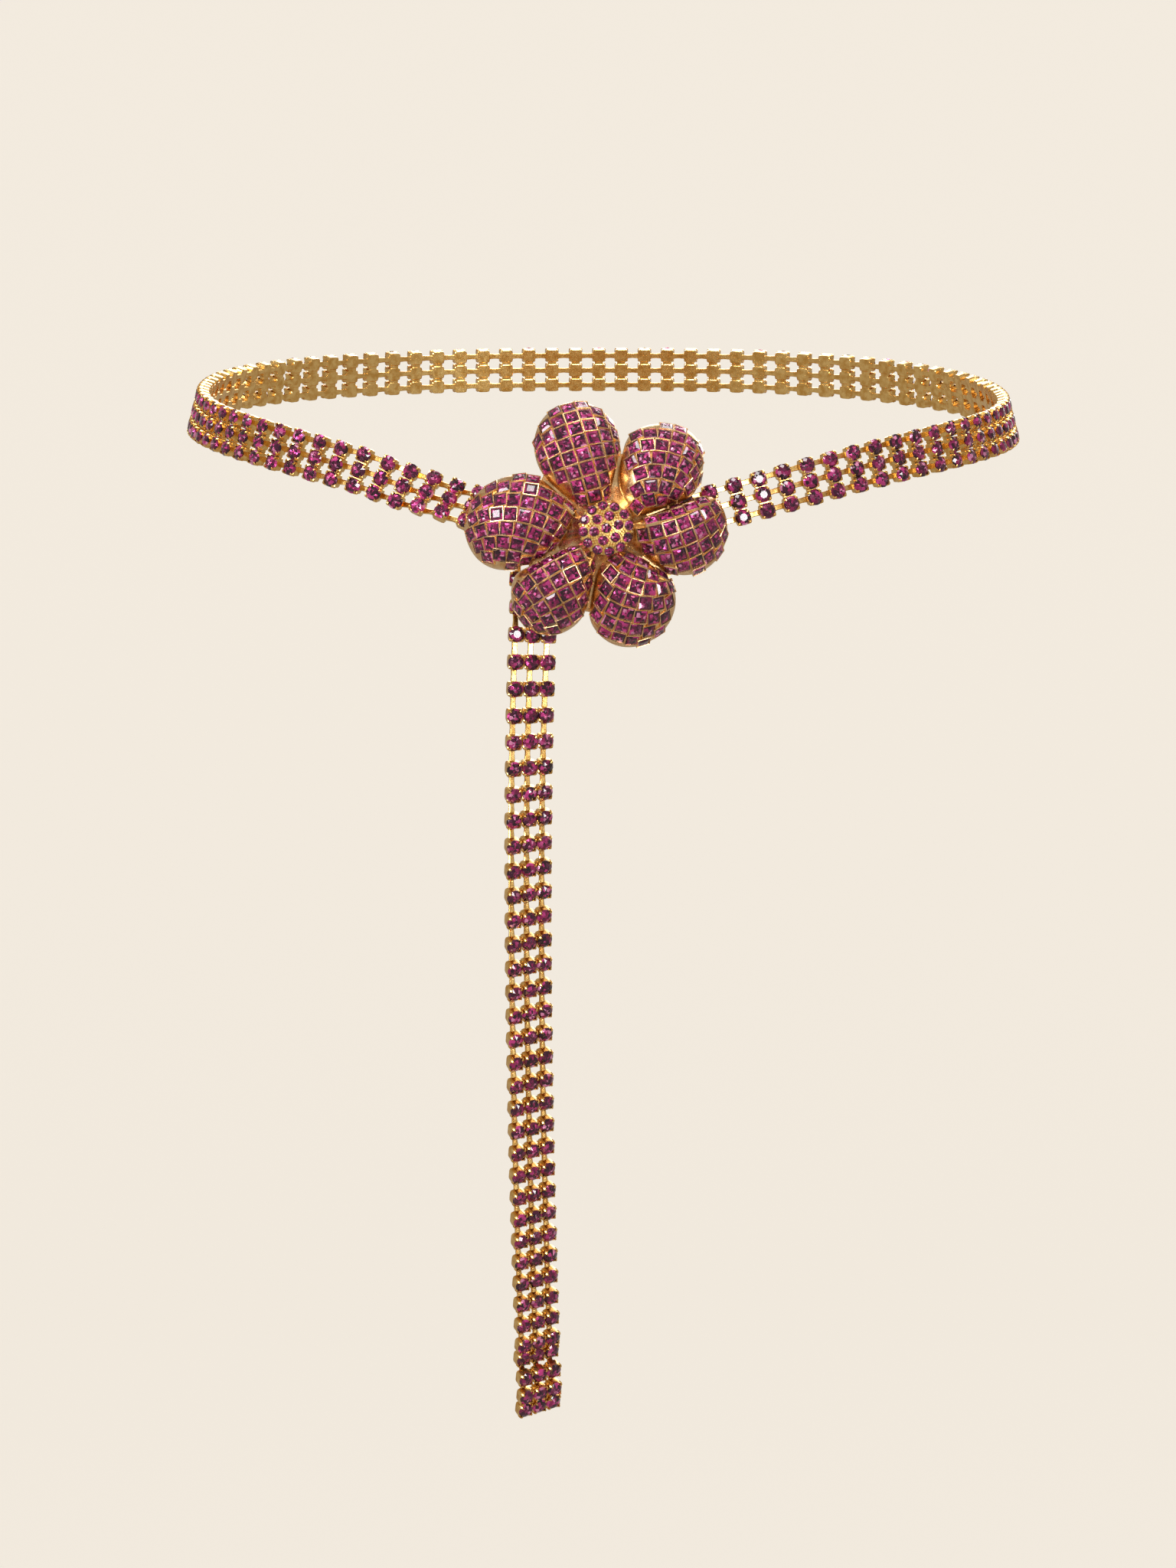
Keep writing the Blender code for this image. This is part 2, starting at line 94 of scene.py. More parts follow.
# The flower
FLOWER_CENTRE = Vector((0.0 * mm, -132.7 * mm, -30.5 * mm))
FLOWER_YAW = math.radians(4)
FLOWER_PITCH = math.radians(8.5)
DISH = math.radians(11)
Petal = namedtuple("Petal", "angle radius turn outer inner left right egg border")
PETALS = (
    Petal(104, 24.5, 105, 18.5, 17.5, 14.5, 12.5, 0.15, 76.5),
    Petal(40, 27.0, 72, 17.0, 18.0, 16.5, 10.5, 0.20, 20.0),
    Petal(4, 24.5, 6, 15.8, 15.5, 12.5, 15.8, 0.06, -33.5),
    Petal(-71, 22.5, -65, 15.6, 15.5, 15.5, 13.5, 0.08, -101.0),
    Petal(-128, 22.5, -122, 16.0, 15.0, 11.5, 14.5, 0.08, -156.0),
    Petal(-189, 25.0, -150, 19.5, 17.5, 13.0, 15.5, 0.20, -222.0),
)
PETAL_HEIGHT = 10.5 * mm
PETAL_WALL = 1.2 * mm
BORDER_GAP = 0.25 * mm
BORDER_SOFTNESS = 0.7 * mm
PLATE_THICKNESS = 1.5 * mm
SEAM_GAP = 0.3 * mm
STEM_RADIUS = 4 * mm
STEM_HEIGHT = 9.5 * mm
DISC_RADIUS = 8.4 * mm
DISC_RIM = 1.6 * mm
DISC_DOME = 2.6 * mm

# A cup's wall, its floor under the stone, and its edge between and at its corners
CUP_COLUMNS = 24
CUP_WALL = 0.35 * mm
CUP_FLOOR = 1.0 * mm
CUP_DIP = 2.8 * mm
CUP_CORNER = 3.6 * mm
CUP_SQUARENESS = 6

# A prong's line over the stone as (reach from the cup's middle, height, half width)
PRONG_PATH = (
    (2.96 * mm, 2.4 * mm, 0.44 * mm),
    (2.96 * mm, 3.5 * mm, 0.42 * mm),
    (2.68 * mm, 4.02 * mm, 0.37 * mm),
    (2.14 * mm, 4.06 * mm, 0.24 * mm),
)
PRONG_THICKNESS = 0.42 * mm

# A link: half its width at the cups, and its lowest and highest face over a bar's back
LINK_HALF = 1.02 * mm
LINK_LOW = 0.1 * mm
LINK_HIGH = 1.15 * mm

# A round stone: its radius, and the heights of its point, girdle and table over a cup's back
STONE_RADIUS = 2.6 * mm
STONE_POINT = 1.1 * mm
STONE_GIRDLE = 3.28 * mm
STONE_TABLE = 4.3 * mm
GIRDLE_WALL = 0.14 * mm

# The cells of the petals: the pitch of the stones, the wall between them, and the stone's
# heights over the gold around it
CELL_PITCH = 4.62 * mm
CELL_WALL_TOP = 0.34 * mm
SQUARE_HALF = 2.02 * mm
SQUARE_TABLE_HALF = 1.15 * mm
SQUARE_TABLE = 0.62 * mm
SHELL_INSET = 0.3 * mm
RIM_INSET = -0.12 * mm
SWELL_START = 0.9
RIM_SHARE = 0.972

# How each petal's rows run: they bend round a pivot in the flower's plane, in millimetres,
# and start "along" and "across" pitches from the petal's middle. "bare" lists the sides that
# have no stones, as (direction in degrees, reach in millimetres from the petal's middle).
Rows = namedtuple("Rows", "pivot along across bare")
ROWS = (
    Rows((33, -121), 0.1, 0.1, ((225, 11.5), (-5, 12.5))),
    Rows((16, 2), 0.0, 0.1, ((190, 12.4),)),
    Rows((2, 62), 0.2, 0.0, ()),
    Rows((15, 1), 0.3, 0.2, ((135, 12.5),)),
    Rows((24, -89), 0.0, 0.4, ((125, 11.0), (-15, 12.0))),
    Rows((-33, -28), 0.2, 0.1, ((-15, 15.5),)),
)

# The disc's stones: (how many, reach from the middle), and the beads between them
DISC_STONES = ((1, 0.0), (6, 4.0 * mm), (12, 7.3 * mm))
DISC_STONE_RADIUS = 1.6 * mm
BEAD_RADIUS = 0.46 * mm
BEAD_COUNT = 380
BEAD_STANDS = 0.3 * mm

# The gold collar under the disc, as (radius, height over the flower's plane)
COLLAR = (
    (7.4 * mm, 10.0 * mm),
    (8.2 * mm, 7.0 * mm),
    (10.2 * mm, 3.8 * mm),
    (15.0 * mm, -0.6 * mm),
)
COLLAR_WALL = 0.6 * mm

# The stones' facets: each shade with the number from 0 to 1 where it starts, how many rings
# and sectors a stone is split into, and how far a facet leans. These colours, from near black
# to bright pink, are painted reflections and glints over the glass's own purple
STONE_COLOUR_AND_PAINTED_GLINTS = (
    (0.0, (0.020, 0.0008, 0.010, 1)),
    (0.26, (0.060, 0.002, 0.030, 1)),
    (0.46, (0.16, 0.005, 0.052, 1)),
    (0.64, (0.36, 0.012, 0.120, 1)),
    (0.80, (0.68, 0.050, 0.290, 1)),
    (0.93, (0.94, 0.330, 0.600, 1)),
)
FACET_RINGS = 2.6
FACET_SECTORS = 8
FACET_LEAN = 0.75

# The stage: its floor, the bend up into the wall, and the paper's colour and glow
FLOOR_Z = -1.9
FLOOR_RADIUS = 2.4
FLOOR_BEND = 0.9
WALL_TOP = 3.2
PAPER = (0.80, 0.765, 0.71, 1)
PAPER_GLOW = (0.42, 0.402, 0.37, 1)

# The lamps as (name, place, width, height, power), the place they all face, and the world
LIGHTS = (
    ("right softbox", (0.86, -2.1, 0.3), 0.36, 0.5, 13),
    ("left softbox", (-1.5, -1.6, 0.9), 0.62, 0.7, 25),
    ("top softbox", (0.1, -0.5, 1.9), 0.8, 0.5, 16),
    ("back softbox", (0.5, 1.9, 0.8), 1.6, 1.2, 22),
)
LIGHT_AIM = Vector((0, -0.1, -0.08))
WORLD_COLOUR = (0.96, 0.88, 0.78, 1)
WORLD_STRENGTH = 0.44

CAMERA_PLACE = Vector((-4.8 * mm, -2.02, 0.12))
CAMERA_PITCH = math.radians(7)
CAMERA_FOCAL_PIXELS = 7740
PHOTO_HEIGHT = 2048
SENSOR = 36

shuffle = random.Random(7)


class Frame:
    """A place on the chain: s runs along it, w across it and n out from the hips."""

    def __init__(self, origin, along, out):
        self.origin = origin
        self.out = out.normalized()
        self.across = self.out.cross(along).normalized()
        self.along = self.across.cross(self.out).normalized()

    def at(self, s, w, n):
        return self.origin + self.along * s + self.across * w + self.out * n

    def turned(self, angle, axis):
        """The same place, turned about an axis of its own."""
        turn = Matrix.Rotation(angle, 3, axis)
        return Frame(self.origin, turn @ self.along, turn @ self.out)

    def moved(self, s, w, n):
        return Frame(self.at(s, w, n), self.along, self.out)

    def place(self, points):
        """Points given as (s, w, n), in the belt's own axes."""
        axes = np.array((self.along, self.across, self.out))
        return np.asarray(points) @ axes + np.array(self.origin)


# The belt's path, as in the solids


def signed_power(value, power):
    return math.copysign(abs(value) ** power, value)


def belt_height(angle):
    """Height of the belt's middle. The angle runs from the front to the wearer's right."""
    across, along = math.sin(angle), math.cos(angle)
    height = SIDE_TILT * across**3 - BACK_RISE * along
    if along > 0:
        height -= FRONT_DROP * (1 - abs(across)) ** 2
    if 0 < angle < SAG_START:
        share = (angle - LEFT_END) / (SAG_START - LEFT_END)
        height -= LEFT_SAG * (1 - max(share, 0.0) ** 2)
    return height


def hip_point(angle):
    """(place, outward normal) on the hips under the belt's middle."""
    z = belt_height(angle)
    half_width = HIP_HALF_WIDTH - SIDE_FLARE * z
    half_depth = HIP_HALF_DEPTH - FRONT_FLARE * z
    x = -half_width * signed_power(math.sin(angle), 2 / HIP_ROUNDNESS)
    y = -half_depth * signed_power(math.cos(angle), 2 / HIP_ROUNDNESS)
    u = abs(x / half_width)
    v = abs(y / half_depth)
    normal = Vector(
        (
            math.copysign(u ** (HIP_ROUNDNESS - 1) / half_width, x),
            math.copysign(v ** (HIP_ROUNDNESS - 1) / half_depth, y),
            u**HIP_ROUNDNESS * SIDE_FLARE / half_width
            + v**HIP_ROUNDNESS * FRONT_FLARE / half_depth,
        )
    ).normalized()
    return Vector((x, y, z)), normal


def twist_at(angle):
    """How far a bar tips beside the buckle, on the wearer's right only."""
    off = abs(math.remainder(angle, math.tau) - TWIST_ANGLE) / TWIST_REACH
    return TWIST * math.cos(math.pi / 2 * off) ** 2 if off < 1 else 0.0


def belt_point(angle):
    """(place, normal) under the chain, which leaves the hips to reach the buckle."""
    place, normal = hip_point(angle)
    from_front = math.remainder(angle, math.tau)
    lift = LEFT_LIFT if from_front > 0 else RIGHT_LIFT
    share = (lift.start - abs(from_front)) / (lift.start - lift.end)
    height = lift.height * min(max(share, 0.0), 1.0) ** lift.power
    height += TWIST_LIFT * BAR_LENGTH / 2 * math.sin(twist_at(angle))
    return place + normal * height, normal


def frame_at(angle, step):
    """The chain's frame at an angle: s runs on round the hips and w runs down."""
    place, normal = belt_point(angle)
    along = belt_point(angle + step)[0] - belt_point(angle - step)[0]
    here = Frame(place, along, normal)
    if math.sin(angle) > 0:
        lean = LEAN * max(math.cos(angle), 0.0) ** 2
        here = here.turned(-lean, here.out)
    return here.turned(twist_at(angle), here.along)


def ring_frames():
    """Evenly spaced frames from the buckle's one side, round the back, to its other side.
    The first and the last stand for the buckle's own end pads."""
    samples = 4000
    span = math.tau - LEFT_END - RIGHT_END
    step = span / samples
    angles = [LEFT_END + step * i for i in range(samples + 1)]
    places = [belt_point(a)[0] for a in angles]
    lengths = [0.0]
    for a, b in zip(places, places[1:]):
        lengths.append(lengths[-1] + (b - a).length)
    bars = round(lengths[-1] / RING_PITCH)
    pitch = lengths[-1] / bars
    wanted = []
    at = 0
    for k in range(bars + 1):
        while at < samples and lengths[at] < k * pitch:
            at += 1
        wanted.append(angles[at])
    before = wanted[0] - pitch * step / lengths[1]
    after = wanted[-1] + pitch * step / (lengths[-1] - lengths[-2])
    return [frame_at(a, step) for a in (before, *wanted, after)]


def tail_line(z):
    """(x, y) of the free end's back at height z: it hangs clear of the belly."""
    below = (TAIL_TOP_Z - z) / (270 * mm)
    swing = 1 - math.exp(-6 * below)
    x = -22.3 * mm - 2.4 * mm * swing - 1.0 * mm * math.sin(math.pi * below) + 3.2 * mm * below**2
    y = -122.5 * mm - 8.0 * mm * swing
    return x, y


def tail_heights():
    """(height, is paired) of the bars down the free end. A paired bar has a second one
    soldered to it, which isn't listed."""
    z = TAIL_TOP_Z
    heights = [(z, False)]
    for k in range(TAIL_EVEN_BARS - 1):
        share = k / (TAIL_EVEN_BARS - 2)
        z -= TAIL_TOP_PITCH + (TAIL_END_PITCH - TAIL_TOP_PITCH) * share
        heights.append((z, False))
    for drop, paired in TAIL_LAST_DROPS:
        z -= drop
        heights.append((z, paired))
    return heights


def tail_frames():
    """Frames down the free end, whose bars turn to the wearer's left, lean and droop."""
    heights = tail_heights()
    top, low = heights[0][0], heights[-1][0]
    frames = []
    for z, paired in heights:
        x, y = tail_line(z)
        below_x, below_y = tail_line(z - 1 * mm)
        down = Vector((below_x - x, below_y - y, -1 * mm))
        share = (top - z) / (top - low)
        settled = min(share / 0.4, 1.0)
        settled *= settled * (3 - 2 * settled)
        droop = TAIL_TOP_DROOP + (TAIL_END_DROOP - TAIL_TOP_DROOP) * settled
        here = Frame(Vector((x, y, z)), down, Vector((0, -1, 0)))
        here = Frame(here.origin, down, here.across.cross(-down))
        here = here.turned(-TAIL_TURN * share**0.3, here.along)
        here = here.turned(TAIL_LEAN * settled, here.out)
        here = here.turned(droop, here.across)
        frames.append(here)
        if paired:
            frames.append(Frame(here.at(PAIR_PITCH, 0, 0), here.along, here.out))
    return frames


def split_evenly(items, parts):
    """Runs of items whose lengths differ by one at most, as (first, past last)."""
    edges = [round(len(items) * k / parts) for k in range(parts + 1)]
    return list(zip(edges, edges[1:]))


# Meshes


class Shape:
    """Points and faces gathered for one mesh. Each point of a stone also has its place in
    that stone, from -1 to 1 each way, and the stone's own number."""

    def __init__(self):
        self.points = []
        self.faces = []
        self.cuts = []

    def add(self, points, faces, cut=None):
        first = len(self.points)
        self.points.extend(map(tuple, points))
        self.faces.extend(tuple(first + i for i in face) for face in faces)
        if cut is not None:
            self.cuts.extend(map(tuple, cut))

    def piece(self, name, finish, slot, nodes=(), smooth_angle=None):
        """The mesh as an object that rides on the belt and stands for its nodes."""
        mesh = bpy.data.meshes.new(name)
        mesh.from_pydata(self.points, [], self.faces)
        mesh.materials.append(finish)
        if smooth_angle is not None:
            mesh.shade_smooth()
            mesh.set_sharp_from_angle(angle=smooth_angle)
        if self.cuts:
            cut = mesh.attributes.new("cut", "FLOAT_VECTOR", "POINT")
            cut.data.foreach_set("vector", np.array(self.cuts, np.float32).ravel())
        made = bpy.data.objects.new(name, mesh)
        bpy.context.scene.collection.objects.link(made)
        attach(made, "root")
        if nodes:
            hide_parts(*nodes)
        return made


def tube_faces(rings, sides, loop=False):
    """Faces of a skin over rings of points, capped at both ends unless it is a loop."""
    faces = []
    for r in range(rings if loop else rings - 1):
        s = (r + 1) % rings
        for i in range(sides):
            j = (i + 1) % sides
            faces.append((r * sides + i, r * sides + j, s * sides + j, s * sides + i))
    if not loop:
        faces.append(tuple(reversed(range(sides))))
        faces.append(tuple(range((rings - 1) * sides, rings * sides)))
    return faces


def ring_points(profile, sides):
    """Rings of points round +Z, one for each (radius, height)."""
    points = []
    for radius, height in profile:
        for k in range(sides):
            turn = math.tau * k / sides
            points.append((radius * math.cos(turn), radius * math.sin(turn), height))
    return points


def facing_out(points, faces):
    """The points and faces of a closed skin, whose faces are turned round if they face in."""
    volume = 0.0
    for face in faces:
        first = Vector(points[face[0]])
        for i, j in zip(face[1:], face[2:]):
            volume += first.dot(Vector(points[i]).cross(Vector(points[j])))
    return points, faces if volume > 0 else [tuple(reversed(face)) for face in faces]


def rounded_square(half, angle):
    """Reach of a square with rounded corners, in a direction."""
    c, s = abs(math.cos(angle)), abs(math.sin(angle))
    return half / (c**CUP_SQUARENESS + s**CUP_SQUARENESS) ** (1 / CUP_SQUARENESS)


def cup_parts():
    """One cup about its own middle: a square box with scalloped walls, and four prongs."""
    foot, top = CUP_SIZE / 2, CUP_TOP_SIZE / 2
    rings = [[] for _ in range(5)]
    for k in range(CUP_COLUMNS):
        angle = math.tau * k / CUP_COLUMNS
        corner = abs(math.sin(2 * angle)) ** 1.4
        edge = CUP_DIP + (CUP_CORNER - CUP_DIP) * corner
        half = foot + (top - foot) * edge / CUP_CORNER
        sections = (
            (foot * 0.9, 0.0),
            (foot, 0.22 * mm),
            (half, edge),
            (half - CUP_WALL, edge),
            (foot - CUP_WALL, CUP_FLOOR),
        )
        for ring, (size, height) in zip(rings, sections):
            reach = rounded_square(size, angle)
            ring.append((reach * math.cos(angle), reach * math.sin(angle), height))
    points = [p for ring in rings for p in ring]
    parts = [facing_out(points, tube_faces(len(rings), CUP_COLUMNS))]
    for k in range(4):
        parts.append(prong_part(math.radians(45 + 90 * k)))
    return parts


def prong_part(angle):
    """A prong that rises at a cup's corner and bends in over the stone's edge."""
    inward = Vector((-math.cos(angle), -math.sin(angle), 0))
    side = Vector((-math.sin(angle), math.cos(angle), 0))
    path = [Vector((0, 0, height)) - inward * reach for reach, height, _ in PRONG_PATH]
    points = []
    for k, (_, _, half) in enumerate(PRONG_PATH):
        ahead = path[min(k + 1, len(path) - 1)] - path[max(k - 1, 0)]
        top = ahead.cross(side).normalized()
        for i in range(6):
            turn = math.tau * i / 6
            across = side * half * math.cos(turn)
            points.append(path[k] + across + top * PRONG_THICKNESS / 2 * math.sin(turn))
    return facing_out(points, tube_faces(len(path), 6))


def brilliant(radius, point, girdle, table):
    """A round stone about its middle: an eight-sided table, a crown of stars, kites and
    halves, a thin girdle and a plain cone below."""
    crown = girdle + (table - girdle) * 0.55

    def ring(count, reach, height, offset=0.0):
        places = []
        for k in range(count):
            angle = math.tau * (k + offset) / count
            places.append((reach * math.cos(angle), reach * math.sin(angle), height))
        return places

    points = ring(8, radius * 0.48, table)
    points += ring(8, radius * 0.79, crown, 0.5)
    points += ring(16, radius, girdle)
    points += ring(16, radius, girdle - GIRDLE_WALL)
    points.append((0, 0, point))
    faces = [tuple(range(8))]
    for k in range(8):
        t, t_next = k, (k + 1) % 8
        m, m_last = 8 + k, 8 + (k - 1) % 8
        g, g_half, g_next = 16 + 2 * k, 17 + 2 * k, 16 + (2 * k + 2) % 16
        faces += [(t, m, t_next), (t, m_last, g, m), (m, g, g_half), (m, g_half, g_next)]
    for k in range(16):
        a, b = 16 + k, 16 + (k + 1) % 16
        faces += [(a, a + 16, b + 16, b), (a + 16, 48, b + 16)]
    return facing_out(points, faces)


def square_stone():
    """A square stone on a petal: a table, four slopes with cut corners, and a short wall."""
    half, corner = SQUARE_HALF, SQUARE_HALF * 0.9
    outline = [
        (half, -corner), (half, corner), (corner, half), (-corner, half),
        (-half, corner), (-half, -corner), (-corner, -half), (corner, -half),
    ]
    girdle, foot = 0.12 * mm, -0.7 * mm
    t = SQUARE_TABLE_HALF
    points = [(t, -t, SQUARE_TABLE), (t, t, SQUARE_TABLE), (-t, t, SQUARE_TABLE), (-t, -t, SQUARE_TABLE)]
    points += [(x, y, girdle) for x, y in outline]
    points += [(x, y, foot) for x, y in outline]
    faces = [(0, 1, 2, 3)]
    for k in range(4):
        a, b = 4 + 2 * k, 5 + 2 * k
        after = 4 + (2 * k + 2) % 8
        faces += [(k, a, b, (k + 1) % 4), ((k + 1) % 4, b, after)]
    for k in range(8):
        a, b = 4 + k, 4 + (k + 1) % 8
        faces.append((a, a + 8, b + 8, b))
    faces.append(tuple(reversed(range(12, 20))))
    return facing_out(points, faces)


def cell_wall():
    """The raised gold wall round a square stone, rounded on its top."""
    outer = CELL_PITCH / 2 + 0.04 * mm
    inner = SQUARE_HALF + 0.02 * mm
    middle = (outer + inner) / 2
    section = (
        (inner, -0.6 * mm),
        (outer, -0.6 * mm),
        (outer, CELL_WALL_TOP * 0.55),
        (middle + 0.08 * mm, CELL_WALL_TOP),
        (middle - 0.08 * mm, CELL_WALL_TOP),
        (inner, CELL_WALL_TOP * 0.55),
    )
    points = []
    for sx, sy in ((1, 1), (-1, 1), (-1, -1), (1, -1)):
        points += [(sx * reach, sy * reach, height) for reach, height in section]
    return facing_out(points, tube_faces(4, len(section), loop=True))


def add_stone(shape, place, template, reach):
    """A stone at a frame, which gets a number of its own for its sparkle: its facets' painted glints and
    the way they tip.
    """
    points, faces = template
    number = shuffle.random() * 100
    cut = [(x / reach, y / reach, number) for x, y, _ in points]
    shape.add(place.place(points), faces, cut)


# The chain


def link_centres():
    middle = (CUPS_PER_BAR - 1) / 2
    return [(k - middle) * CUP_PITCH for k in range(CUPS_PER_BAR)]


def add_link(shape, start, end, w, start_s, end_s):
    """One flat link between two frames, a little slimmer and lower in its middle."""
    middle = Frame((start.at(start_s, 0, 0) + end.at(end_s, 0, 0)) / 2, start.along + end.along,
                   start.out + end.out)
    stations = ((start, start_s, 1.0), (middle, 0.0, 0.8), (end, end_s, 1.0))
    points = []
    for place, s, width in stations:
        half = LINK_HALF * width
        for dw, share in ((-1, 0.25), (-0.75, 0), (0.75, 0), (1, 0.25), (1, 0.75), (0.75, 1),
                          (-0.75, 1), (-1, 0.75)):
            points.append(place.at(s, w + dw * half, LINK_LOW + (LINK_HIGH - LINK_LOW) * share))
    shape.add(*facing_out(points, tube_faces(3, 8)))


def add_links(shape, start, end):
    tuck = CUP_SIZE / 2 - 0.5 * mm
    for w in link_centres():
        add_link(shape, start, end, w, tuck, -tuck)


def solder_part():
    """The small bridge that joins a cup to the next one in its bar."""
    length, width, low, high = 0.7 * mm, 1.5 * mm, 0.3 * mm, 2.0 * mm
    corners = [(-width, -length), (width, -length), (width, length), (-width, length)]
    points = [(s, w, n) for n in (low, high) for s, w in corners]
    return facing_out(points, tube_faces(2, 4))


def chain_piece(name, frames, before, after, gold, stone):
    """The cups, links and stones of one stretch of the chain."""
    metal, stones = Shape(), Shape()
    cup = cup_parts()
    bridge = solder_part()
    cut = brilliant(STONE_RADIUS, STONE_POINT, STONE_GIRDLE, STONE_TABLE)
    if before:
        add_links(metal, before, frames[0])
    for place, following in zip(frames, [*frames[1:], after]):
        for k, w in enumerate(link_centres()):
            seat = place.moved(0, w, 0)
            for points, faces in cup:
                metal.add(seat.place(points), faces)
            tilt = seat.turned(shuffle.uniform(-0.035, 0.035), seat.along)
            tilt = tilt.turned(shuffle.uniform(-0.035, 0.035), tilt.across)
            tilt = tilt.turned(shuffle.uniform(-0.4, 0.4), tilt.out)
            add_stone(stones, tilt, cut, STONE_RADIUS)
            if k:
                metal.add(place.moved(0, w - CUP_PITCH / 2, 0).place(bridge[0]), bridge[1])
        if following:
            add_links(metal, place, following)
    metal.piece(f"{name}_metal", gold, "chain", [name], math.radians(38))
    stones.piece(f"{name}_stones", stone, "pave", [name])


def build_chain(gold, stone):
    ring = ring_frames()
    bars = ring[1:-1]
    for k, (first, end) in enumerate(split_evenly(bars, RING_STRETCHES)):
        before = ring[0] if first == 0 else None
        chain_piece(f"belt_stretch_{k + 1:02d}", bars[first:end], before, ring[end + 1], gold, stone)
    tail = tail_frames()
    top = tail[0]
    hold = top.moved(-CUP_SIZE / 2 - TAIL_STUB, 0, 0)
    for k, (first, end) in enumerate(split_evenly(tail, TAIL_STRETCHES)):
        after = tail[end] if end < len(tail) else None
        before = hold if first == 0 else None
        chain_piece(f"free_end_stretch_{k + 1}", tail[first:end], before, after, gold, stone)


# The flower


def flower_matrix():
    """From the flower's own axes, with +Z along its axis and +Y up, to the belt's."""
    face_front = Matrix.Rotation(math.radians(90), 4, "X")
    yaw = Matrix.Rotation(FLOWER_YAW, 4, "Z")
    pitch = Matrix.Rotation(-FLOWER_PITCH, 4, "X")
    return Matrix.Translation(FLOWER_CENTRE) @ yaw @ pitch @ face_front


def dish_height(radius):
    return -math.tan(DISH) * radius


def ray(degrees):
    angle = math.radians(degrees)
    return Vector((math.cos(angle), math.sin(angle)))


def pressed(point, border, side):
    """A point kept to one side of a border, which it nears softly and never crosses."""
    normal = ray(border + 90 * side)
    room = point.dot(normal) - BORDER_GAP
    kept = (room + math.hypot(room, 2 * BORDER_SOFTNESS)) / 2
    return point + normal * (kept - room)


def petal_outline(petal, last_border, side_angle):
    """A petal's rim in the flower's plane: an egg, pressed flat where it meets the next."""
    c, s = math.cos(side_angle), math.sin(side_angle)
    u = (petal.outer if c > 0 else petal.inner) * c * mm
    v = (petal.left if s > 0 else petal.right) * s * (1 + petal.egg * c) * mm
    middle = ray(petal.angle) * petal.radius * mm
    point = middle + ray(petal.turn) * u + ray(petal.turn + 90) * v
    point = pressed(point, petal.border, 1)
    return pressed(point, last_border, -1)


class Dome:
    """A petal's outer surface, as heights over the flower's plane."""

    SAMPLES = 360

    def __init__(self, petal, last_border):
        self.petal = petal
        self.borders = (last_border, petal.border)
        self.middle = ray(petal.angle) * petal.radius * mm
        self.outline = [
            petal_outline(petal, last_border, math.tau * k / self.SAMPLES) for k in range(self.SAMPLES)
        ]
        reach = sorted((math.atan2((p - self.middle).y, (p - self.middle).x), (p - self.middle).length)
                       for p in self.outline)
        self.angles = np.array([a for a, _ in reach])
        self.radii = np.array([r for _, r in reach])

    def share(self, point):
        """How far out a point lies, from 0 in the middle to 1 at the rim."""
        away = point - self.middle
        radius = np.interp(math.atan2(away.y, away.x), self.angles, self.radii, period=math.tau)
        return away.length / float(radius)

    def seat(self, point):
        return PLATE_THICKNESS + SEAM_GAP + dish_height(point.dot(ray(self.petal.angle)))

    def lift(self, point, inset=SHELL_INSET):
        """The point on the gold shell over a place in the flower's plane."""
        share = min(self.share(point), 0.9995)
        height = self.seat(point) + (PETAL_HEIGHT - inset) * math.sqrt(1 - share**2)
        return Vector((point.x, point.y, height))

    def normal(self, point):
        step = 0.05 * mm
        dx = self.lift(point + Vector((step, 0))) - self.lift(point - Vector((step, 0)))
        dy = self.lift(point + Vector((0, step))) - self.lift(point - Vector((0, step)))
        return dx.cross(dy).normalized()

    def in_bounds(self, place):
        """Whether a point in space keeps clear of the petals on both sides."""
        flat = Vector((place.x, place.y))
        last, following = self.borders
        return flat.dot(ray(following + 90)) > 0.1 * mm and flat.dot(ray(last - 90)) > 0.1 * mm


def walk(dome, line, start, step, spacing, offset):
    """Numbers along a line over the dome, spaced evenly on its surface, to its rim."""
    found = []
    value, gone, wanted = start, 0.0, offset
    last = dome.lift(line(value))
    while dome.share(line(value)) < 0.995:
        if gone >= wanted:
            found.append(value)
            wanted += spacing
        value += step
        here = dome.lift(line(value))
        gone += (here - last).length
        last = here
    return found


def walk_both(dome, line, start, step, spacing, offset):
    """The same to both sides, from a start that is offset by a share of the spacing."""
    ahead = walk(dome, line, start, step, spacing, offset * spacing)
    behind = walk(dome, line, start, -step, spacing, (1 - offset) * spacing)
    return ahead + behind


def petal_seats(dome, rows):
    """Frames of a petal's square stones, in the flower's axes, in rows that bend round a
    pivot. A seat that would crowd an earlier one is left out."""
    pivot = Vector(rows.pivot) * mm
    away = dome.middle - pivot
    facing = math.atan2(away.y, away.x)
    radii = walk_both(
        dome, lambda r: pivot + away.normalized() * r, away.length, 0.03 * mm, CELL_PITCH, rows.across
    )
    seats = []
    for radius in sorted(radii, key=lambda r: abs(r - away.length)):
        def row(angle):
            return pivot + Vector((math.cos(angle), math.sin(angle))) * radius

        if dome.share(row(facing)) > 0.99:
            continue
        for angle in walk_both(dome, row, facing, 0.03 * mm / radius, CELL_PITCH, rows.along):
            seats.append((dome.share(row(angle)), radius, angle))
    frames = []
    for share, radius, angle in sorted(seats):
        place = pivot + Vector((math.cos(angle), math.sin(angle))) * radius
        if share > RIM_SHARE or is_bare(dome, place, rows.bare):
            continue
        normal = dome.normal(place)
        tangent = Vector((-math.sin(angle), math.cos(angle), 0))
        seat = Frame(dome.lift(place), tangent - normal * tangent.dot(normal), normal)
        half = CELL_PITCH / 2
        corners = [seat.at(a * half, b * half, 0) for a in (-1, 1) for b in (-1, 1)]
        crowded = any((seat.origin - f.origin).length < 0.9 * CELL_PITCH for f in frames)
        if not crowded and all(dome.in_bounds(c) for c in corners):
            frames.append(seat)
    return frames


def is_bare(dome, place, bare):
    away = place - dome.middle
    return any(away.dot(ray(direction)) > reach * mm for direction, reach in bare)


